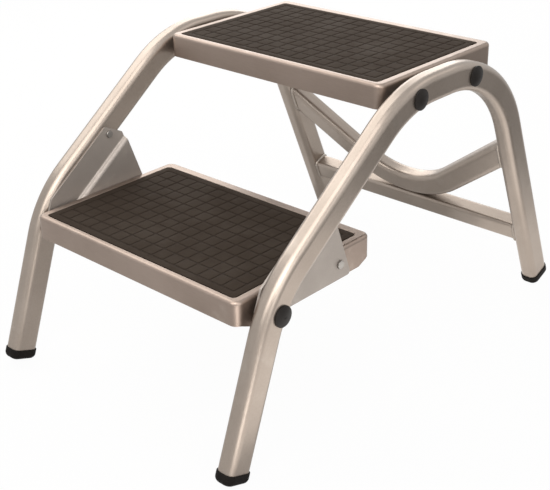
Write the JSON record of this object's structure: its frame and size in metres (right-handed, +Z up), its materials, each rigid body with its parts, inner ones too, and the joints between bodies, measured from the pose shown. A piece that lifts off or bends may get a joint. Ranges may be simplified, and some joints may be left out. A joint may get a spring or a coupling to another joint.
{
  "type": "caravan entry step",
  "caption": "Free-standing entry step for a caravan: bent-tube side frames carry pressed treads with rubber mats, stiffened at the rear by a crossbar and a curved brace.",
  "frame": {"origin": "on the floor, midway between the front and rear feet and between the sides", "axes": "+Z up, +Y from the lower tread to the upper one, +X to the right of someone who climbs it"},
  "size_m": [0.49, 0.7649, 0.443],
  "materials": {
    "tube_metal": "satin, warm grey",
    "tread_metal": "satin, warm grey",
    "bracket_metal": "satin, cool grey",
    "mat_rubber": "matt, square pads between grooves",
    "cap_rubber": "matt black",
    "cover_plastic": "satin black",
    "spacer_plastic": "black",
    "fastener_steel": "zinc plated"
  },
  "bodies": {
    "root": {"left_side_tube": "tube_metal", "right_side_tube": "tube_metal", "rear_crossbar": "tube_metal", "rear_curved_brace": "tube_metal", "lower_tread_pan": "tread_metal", "upper_tread_pan": "tread_metal", "left_tread_bracket": "bracket_metal", "right_tread_bracket": "bracket_metal", "lower_tread_mat": "mat_rubber", "upper_tread_mat": "mat_rubber", "front_left_foot_cap": "cap_rubber", "front_right_foot_cap": "cap_rubber", "rear_left_foot_cap": "cap_rubber", "rear_right_foot_cap": "cap_rubber", "bolt_covers": "cover_plastic", "lower_tread_spacers": "spacer_plastic", "upper_tread_spacers": "spacer_plastic", "lower_tread_bolts": "fastener_steel", "upper_tread_bolts": "fastener_steel", "tread_bolt_washers": "fastener_steel", "tread_bolt_nuts": "fastener_steel", "bracket_bolts": "fastener_steel", "bracket_nuts": "fastener_steel", "bracket_rivets": "fastener_steel"}
  },
  "joints": []
}
